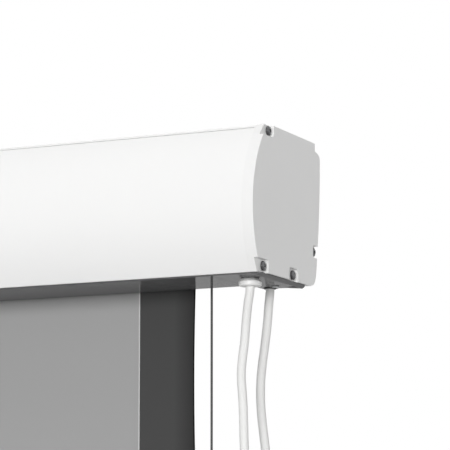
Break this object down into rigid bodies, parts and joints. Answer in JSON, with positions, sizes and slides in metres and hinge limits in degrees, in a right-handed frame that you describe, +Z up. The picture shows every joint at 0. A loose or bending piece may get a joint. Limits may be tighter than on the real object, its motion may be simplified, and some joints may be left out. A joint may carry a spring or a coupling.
{
  "type": "motorised tab-tensioned projection screen",
  "caption": "Wall or ceiling mounted drop-down projection screen: curved white case with a motorised roller, side-tensioned grey fabric with black borders, and a weighted bar.",
  "frame": {"origin": "middle of the flat top face of the case's extrusion", "axes": "+X along the case towards the cable end, +Z up, the picture is looked at along +Y"},
  "size_m": [2.16, 0.1415, 1.2619],
  "materials": {
    "white_lacquer": "satin white powder coat on aluminium",
    "cap_plastic": "satin white moulding",
    "gland_plastic": "satin white nylon",
    "dark_gloss": "glossy dark grey",
    "plain_aluminium": "mill finish",
    "black_lacquer": "satin black powder coat",
    "dark_plastic": "fine textured black",
    "zinc_steel": "zinc plated",
    "black_steel": "dark plated",
    "grey_plastic": "satin grey moulding",
    "screen_fabric": "matt grey projection fabric",
    "black_fabric": "matt black projection fabric",
    "tension_cord": "braided grey cord",
    "cable_jacket": "smooth white cable jacket"
  },
  "bodies": {
    "case": {"casing_profile": "white_lacquer", "front_cover": "white_lacquer", "bottom_panel": "plain_aluminium", "bottom_cover": "dark_gloss", "bottom_end_plate_right": "dark_gloss", "bottom_end_plate_left": "dark_gloss", "bottom_plate_screw_right": "zinc_steel", "bottom_plate_screw_left": "zinc_steel", "end_cap_right": "cap_plastic", "end_cap_left": "cap_plastic", "end_cap_screw_top_right": "black_steel", "end_cap_screw_front_right": "black_steel", "end_cap_screw_slot_right": "black_steel", "end_cap_screw_rear_right": "black_steel", "end_cap_screw_top_left": "black_steel", "end_cap_screw_front_left": "black_steel", "end_cap_screw_slot_left": "black_steel", "end_cap_screw_rear_left": "black_steel", "roller_bracket_right": "white_lacquer", "roller_bracket_left": "white_lacquer", "motor_clip": "zinc_steel", "motor_head": "dark_plastic", "motor_can": "zinc_steel", "idler_pin": "zinc_steel", "viewing_surface": "screen_fabric", "side_border_right": "black_fabric", "side_border_left": "black_fabric", "tension_cord_right": "tension_cord", "tension_cord_left": "tension_cord", "cable_gland": "gland_plastic", "cable_grommet": "dark_plastic", "terminal_block": "grey_plastic", "power_cable": "cable_jacket", "power_cable_coil": "cable_jacket", "power_coil_tie": "dark_plastic", "power_plug": "gland_plastic", "control_cable": "cable_jacket", "control_cable_coil": "cable_jacket", "control_coil_tie": "dark_plastic", "control_connector": "grey_plastic"},
    "roller": {"roller_tube": "plain_aluminium", "fabric_wrap": "black_fabric", "limit_crown": "dark_plastic", "drive_wheel": "grey_plastic", "idler_plug": "grey_plastic", "cord_clamp_right": "grey_plastic", "cord_clamp_left": "grey_plastic"},
    "limit_up": {"limit_screw_up": "gland_plastic"},
    "limit_down": {"limit_screw_down": "grey_plastic"},
    "bar": {"bottom_border": "black_fabric", "bottom_bar": "black_lacquer", "bar_end_cap_right": "dark_plastic", "bar_end_cap_left": "dark_plastic", "fabric_rod": "grey_plastic"},
    "adjuster_right": {"tension_adjuster_right": "dark_plastic"},
    "adjuster_left": {"tension_adjuster_left": "dark_plastic"},
    "wall_fixing_right": {"wall_bracket_right": "white_lacquer", "clamp_screw_right": "zinc_steel"},
    "wall_fixing_left": {"wall_bracket_left": "white_lacquer", "clamp_screw_left": "zinc_steel"}
  },
  "joints": [
    {"name": "screen_travel", "type": "slide", "parent": "case", "child": "bar", "axis": [0, 0, 1], "range_m": [0, 1.0966], "deforming": ["viewing_surface", "side_border_right", "side_border_left", "tension_cord_right", "tension_cord_left"]},
    {"name": "roller_spin", "type": "hinge", "parent": "case", "child": "roller", "pos_m": [0, -0.0115, -0.0614], "axis": [1, 0, 0], "range_deg": [0, 2400]},
    {"name": "limit_up_turn", "type": "hinge", "parent": "case", "child": "limit_up", "pos_m": [1.06255, -0.0115, -0.0834], "axis": [0, 0, 1], "continuous": true},
    {"name": "limit_down_turn", "type": "hinge", "parent": "case", "child": "limit_down", "pos_m": [1.05655, -0.0115, -0.0834], "axis": [0, 0, 1], "continuous": true},
    {"name": "adjuster_right_turn", "type": "hinge", "parent": "bar", "child": "adjuster_right", "pos_m": [0.9987, 0.0147, -1.25], "axis": [0, 0, 1], "continuous": true},
    {"name": "adjuster_left_turn", "type": "hinge", "parent": "bar", "child": "adjuster_left", "pos_m": [-0.9987, 0.0147, -1.25], "axis": [0, 0, 1], "continuous": true},
    {"name": "bracket_right_slide", "type": "slide", "parent": "case", "child": "wall_fixing_right", "axis": [1, 0, 0], "range_m": [-0.15, 0.15]},
    {"name": "bracket_left_slide", "type": "slide", "parent": "case", "child": "wall_fixing_left", "axis": [1, 0, 0], "range_m": [-0.15, 0.15]}
  ],
  "couplings": [
    {"joint": "roller_spin", "follows": "screen_travel", "rad_per_m": 38.168}
  ]
}
